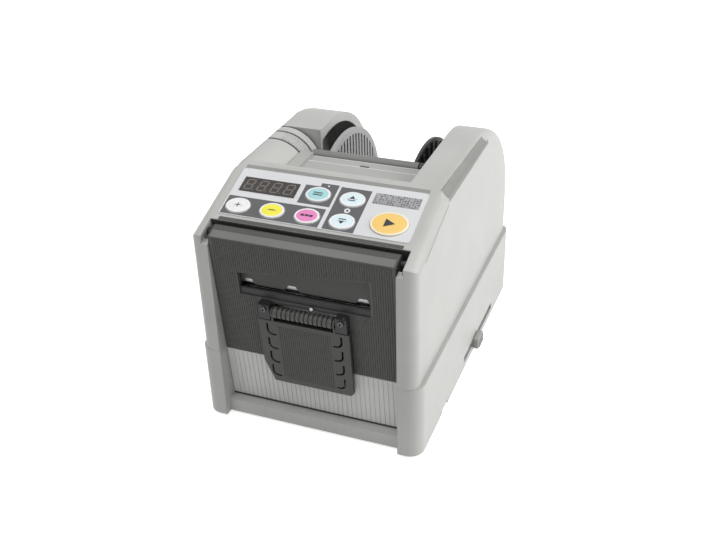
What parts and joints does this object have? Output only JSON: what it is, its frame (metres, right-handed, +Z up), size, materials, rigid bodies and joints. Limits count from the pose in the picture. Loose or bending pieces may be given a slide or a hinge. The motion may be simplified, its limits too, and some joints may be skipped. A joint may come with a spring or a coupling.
{
  "type": "electric tape dispenser",
  "caption": "Desk-top electric tape dispenser: grey case with keypad panel, hinged front cover, motor-fed tape, rising cutter blade and a lift-out reel between two arms.",
  "frame": {"origin": "middle of the lower case's underside, two millimetres above the table", "axes": "+X to the right, +Y to the rear, +Z up; the keypad and tape slot face -Y"},
  "size_m": [0.145, 0.2146, 0.1475],
  "materials": {
    "case_grey": "moulded plastic with a fine texture",
    "panel_grey": "moulded plastic with upright grooves",
    "overlay_print": "printed film",
    "window_black": "dark clear window",
    "module_grey": "moulded plastic",
    "board_green": "coated circuit board",
    "foot_rubber": "soft rubber",
    "screw_steel": "zinc plated",
    "sheet_steel": "zinc plated sheet",
    "bush_bronze": "sintered bronze",
    "motor_metal": "painted steel case",
    "blade_steel": "ground steel",
    "dark_plastic": "dark ribbed plastic",
    "black_plastic": "black plastic",
    "shaft_steel": "turned steel",
    "roller_rubber": "ground rubber",
    "gear_plastic": "acetal",
    "pinion_brass": "cut brass",
    "core_plastic": "moulded plastic",
    "disc_grey": "moulded plastic",
    "key_white": "printed key",
    "key_yellow": "printed key",
    "key_pink": "printed key",
    "key_cyan": "printed key",
    "key_orange": "printed key"
  },
  "bodies": {
    "case": {"lower_case": "case_grey", "upper_case": "case_grey", "lower_front_panel": "panel_grey", "top_plate": "case_grey", "panel_overlay": "overlay_print", "display_window": "window_black", "display_module": "module_grey", "control_board": "board_green", "key_switches": "module_grey", "driver_board": "board_green", "rubber_feet": "foot_rubber", "case_screws": "screw_steel", "chassis": "sheet_steel", "chassis_screws": "screw_steel", "shaft_bushes": "bush_bronze", "feed_motor": "motor_metal", "cutter_motor": "motor_metal", "fixed_blade": "blade_steel", "blade_guard": "dark_plastic", "blade_beam": "sheet_steel", "guide_posts": "shaft_steel", "tape_guide": "sheet_steel", "cover_hinge_pin": "shaft_steel", "guide_roller_axle": "shaft_steel", "reel_bearings": "case_grey", "power_jack": "black_plastic", "switch_housing": "black_plastic"},
    "cover": {"front_cover": "dark_plastic", "tray_bracket": "dark_plastic", "tray_pin": "shaft_steel", "tray_screws": "screw_steel"},
    "exit_roller": {"exit_roller": "dark_plastic"},
    "tray": {"tape_tray": "dark_plastic"},
    "slider": {"side_slider": "disc_grey"},
    "key_plus": {"button_plus": "key_white"},
    "key_minus": {"button_minus": "key_yellow"},
    "key_select": {"button_select": "key_pink"},
    "key_mode": {"button_mode": "key_cyan"},
    "key_reverse": {"button_reverse": "key_white"},
    "key_forward": {"button_forward": "key_white"},
    "key_start": {"button_start": "key_orange"},
    "spindle": {"reel_spindle": "shaft_steel"},
    "reel": {"reel_core": "core_plastic", "reel_disc_left": "disc_grey", "reel_disc_right": "black_plastic"},
    "guide_roller": {"guide_roller": "dark_plastic"},
    "feed": {"feed_shaft": "shaft_steel", "feed_rubber": "roller_rubber", "feed_gear": "gear_plastic", "feed_sync_gear": "gear_plastic"},
    "press": {"press_roller": "roller_rubber", "press_sync_gear": "gear_plastic"},
    "feed_pinion": {"feed_pinion": "pinion_brass"},
    "carriage": {"blade_carriage": "sheet_steel", "moving_blade": "blade_steel"},
    "cutter": {"cutter_shaft": "shaft_steel", "cutter_gear": "gear_plastic"},
    "cutter_pinion": {"cutter_pinion": "pinion_brass"},
    "rocker": {"power_rocker": "black_plastic"}
  },
  "joints": [
    {"name": "cover_hinge", "type": "hinge", "parent": "case", "child": "cover", "pos_m": [0, -0.09537, 0.1244], "axis": [-1, 0, 0], "range_deg": [0, 85]},
    {"name": "exit_roller_spin", "type": "hinge", "parent": "cover", "child": "exit_roller", "pos_m": [0, -0.1031, 0.08326], "axis": [1, 0, 0], "continuous": true},
    {"name": "tray_hinge", "type": "hinge", "parent": "cover", "child": "tray", "pos_m": [0, -0.1031, 0.08326], "axis": [-1, 0, 0], "range_deg": [0, 75]},
    {"name": "slider_slide", "type": "slide", "parent": "case", "child": "slider", "axis": [0, 1, 0], "range_m": [-0.0198, 0.0378]},
    {"name": "key_plus_press", "type": "slide", "parent": "case", "child": "key_plus", "axis": [0, 0.3113, -0.9503], "range_m": [0, 0.0008], "stiffness_N_per_m": 1500},
    {"name": "key_minus_press", "type": "slide", "parent": "case", "child": "key_minus", "axis": [0, 0.3113, -0.9503], "range_m": [0, 0.0008], "stiffness_N_per_m": 1500},
    {"name": "key_select_press", "type": "slide", "parent": "case", "child": "key_select", "axis": [0, 0.3113, -0.9503], "range_m": [0, 0.0008], "stiffness_N_per_m": 1500},
    {"name": "key_mode_press", "type": "slide", "parent": "case", "child": "key_mode", "axis": [0, 0.3113, -0.9503], "range_m": [0, 0.0008], "stiffness_N_per_m": 1500},
    {"name": "key_reverse_press", "type": "slide", "parent": "case", "child": "key_reverse", "axis": [0, 0.3113, -0.9503], "range_m": [0, 0.0008], "stiffness_N_per_m": 1500},
    {"name": "key_forward_press", "type": "slide", "parent": "case", "child": "key_forward", "axis": [0, 0.3113, -0.9503], "range_m": [0, 0.0008], "stiffness_N_per_m": 1500},
    {"name": "key_start_press", "type": "slide", "parent": "case", "child": "key_start", "axis": [0, 0.3113, -0.9503], "range_m": [0, 0.0008], "stiffness_N_per_m": 1500},
    {"name": "spindle_lift", "type": "slide", "parent": "case", "child": "spindle", "axis": [0, 0.766, 0.6428], "range_m": [0, 0.09]},
    {"name": "reel_spin", "type": "hinge", "parent": "spindle", "child": "reel", "pos_m": [0, 0.034, 0.07375], "axis": [1, 0, 0], "continuous": true},
    {"name": "guide_roller_spin", "type": "hinge", "parent": "case", "child": "guide_roller", "pos_m": [0, -0.0005, 0.135], "axis": [1, 0, 0], "continuous": true},
    {"name": "feed_spin", "type": "hinge", "parent": "case", "child": "feed", "pos_m": [0, -0.067, 0.0858], "axis": [1, 0, 0], "continuous": true},
    {"name": "press_spin", "type": "hinge", "parent": "case", "child": "press", "pos_m": [0, -0.067, 0.1042], "axis": [1, 0, 0], "continuous": true},
    {"name": "feed_pinion_spin", "type": "hinge", "parent": "case", "child": "feed_pinion", "pos_m": [0, -0.04853, 0.06216], "axis": [1, 0, 0], "continuous": true},
    {"name": "cutter_turn", "type": "hinge", "parent": "case", "child": "cutter", "pos_m": [0, -0.072, 0.068], "axis": [-1, 0, 0], "range_deg": [0, 57.3]},
    {"name": "carriage_lift", "type": "slide", "parent": "case", "child": "carriage", "axis": [0, 0, 1], "range_m": [0, 0.007]},
    {"name": "cutter_pinion_turn", "type": "hinge", "parent": "case", "child": "cutter_pinion", "pos_m": [0, -0.04969, 0.06202], "axis": [-1, 0, 0], "range_deg": [-114.6, 0]},
    {"name": "rocker_tilt", "type": "hinge", "parent": "case", "child": "rocker", "pos_m": [0.055, 0.102, 0.024], "axis": [1, 0, 0], "range_deg": [0, 14]}
  ],
  "couplings": [
    {"joint": "press_spin", "follows": "feed_spin", "ratio": -1},
    {"joint": "feed_pinion_spin", "follows": "feed_spin", "ratio": -2},
    {"joint": "cutter_turn", "follows": "carriage_lift", "rad_per_m": 142.86},
    {"joint": "cutter_pinion_turn", "follows": "carriage_lift", "rad_per_m": -285.71}
  ]
}
